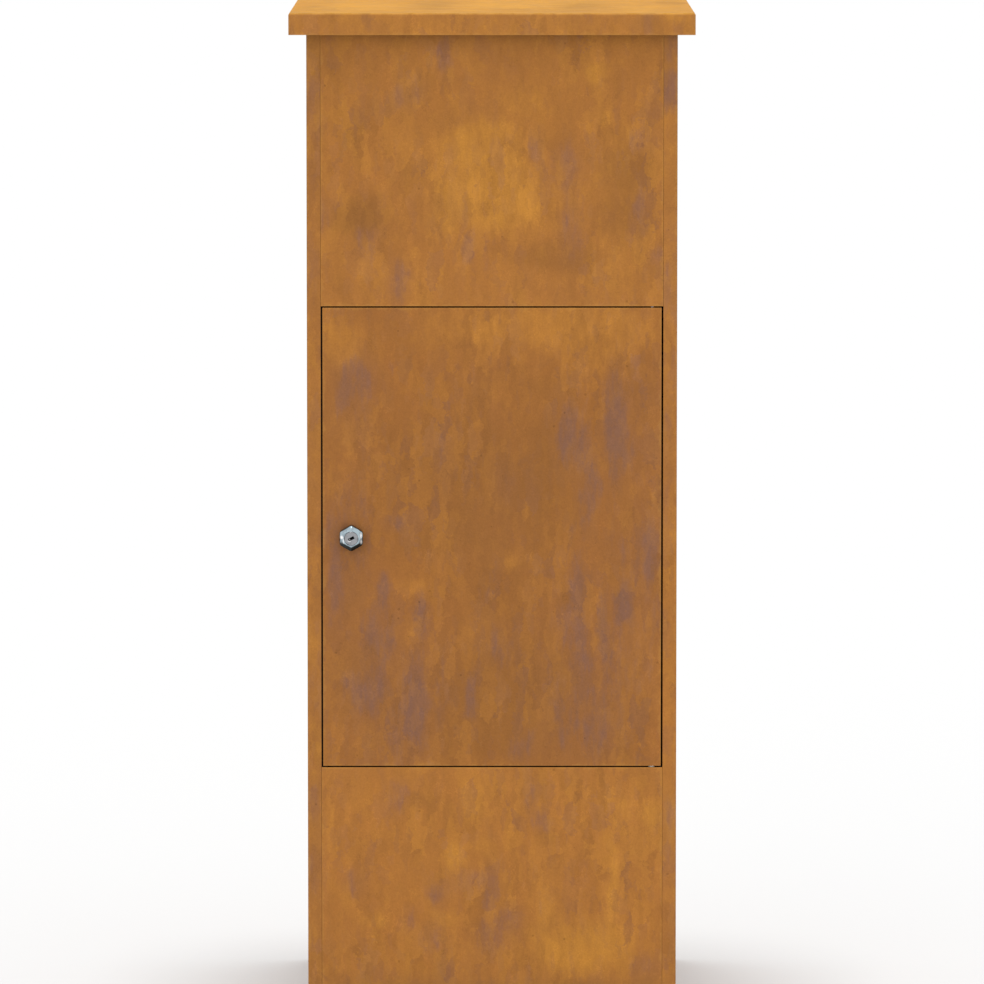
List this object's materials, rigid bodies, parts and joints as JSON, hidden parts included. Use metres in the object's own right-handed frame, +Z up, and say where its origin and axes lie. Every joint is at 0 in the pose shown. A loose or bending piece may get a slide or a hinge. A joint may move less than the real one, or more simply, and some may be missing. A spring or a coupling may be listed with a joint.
{
  "type": "rusty mailbox",
  "caption": "Freestanding letterbox of rusted weathering-steel sheet, with a folded roof, a hinged lockable door and a letter slot with a flap at the rear.",
  "frame": {"origin": "middle of the roof's outline, on the ground that the box stands on", "axes": "+Z up, the lockable door faces -Y, the letter slot faces +Y, the door's hinges are on the +X side"},
  "size_m": [0.41, 0.38, 1.02],
  "materials": {
    "rusted_skin": "matte",
    "rusted_inner_steel": "matte",
    "zinc_steel": "satin",
    "lock_chrome": "polished",
    "lock_plug_metal": "satin",
    "white_nylon": "satin"
  },
  "bodies": {
    "housing": {"left_side_panel": "rusted_skin", "right_side_panel": "rusted_skin", "upper_door_side_panel": "rusted_skin", "lower_door_side_panel": "rusted_skin", "slot_side_panel": "rusted_skin", "left_door_side_strap": "rusted_inner_steel", "right_door_side_strap": "rusted_inner_steel", "left_slot_side_strap": "rusted_inner_steel", "right_slot_side_strap": "rusted_inner_steel", "door_head_angle": "rusted_inner_steel", "door_sill_angle": "rusted_inner_steel", "roof_cap": "rusted_skin", "roof_studs": "zinc_steel", "roof_washers": "zinc_steel", "roof_nuts": "zinc_steel", "upper_hinge_pin": "zinc_steel", "lower_hinge_pin": "zinc_steel", "hinge_washer": "white_nylon", "flap_rod": "zinc_steel", "left_flap_ear": "rusted_inner_steel", "right_flap_ear": "rusted_inner_steel", "rod_clips": "zinc_steel", "letter_deflector": "rusted_inner_steel", "compartment_floor": "rusted_inner_steel", "left_floor_angle": "rusted_inner_steel", "right_floor_angle": "rusted_inner_steel", "floor_screws": "zinc_steel", "floor_nuts": "zinc_steel", "base_tray": "rusted_inner_steel"},
    "door": {"door_sheet": "rusted_skin", "upper_door_stiffener": "rusted_inner_steel", "lower_door_stiffener": "rusted_inner_steel", "upper_door_lug": "rusted_inner_steel", "lower_door_lug": "rusted_inner_steel", "lock_body": "lock_chrome", "lock_nut": "zinc_steel"},
    "lock_core": {"lock_plug": "lock_plug_metal", "lock_cam": "zinc_steel", "cam_screw": "zinc_steel"},
    "flap": {"slot_flap": "rusted_skin"}
  },
  "joints": [
    {"name": "door_hinge", "type": "hinge", "parent": "housing", "child": "door", "pos_m": [0.1625, -0.167, 0.48775], "axis": [0, 0, 1], "range_deg": [0, 115]},
    {"name": "lock_turn", "type": "hinge", "parent": "door", "child": "lock_core", "pos_m": [-0.1427, -0.1725, 0.48775], "axis": [0, 1, 0], "range_deg": [0, 90]},
    {"name": "flap_swing", "type": "hinge", "parent": "housing", "child": "flap", "pos_m": [0, 0.17898, 0.912], "axis": [1, 0, 0], "range_deg": [0, 80]}
  ]
}
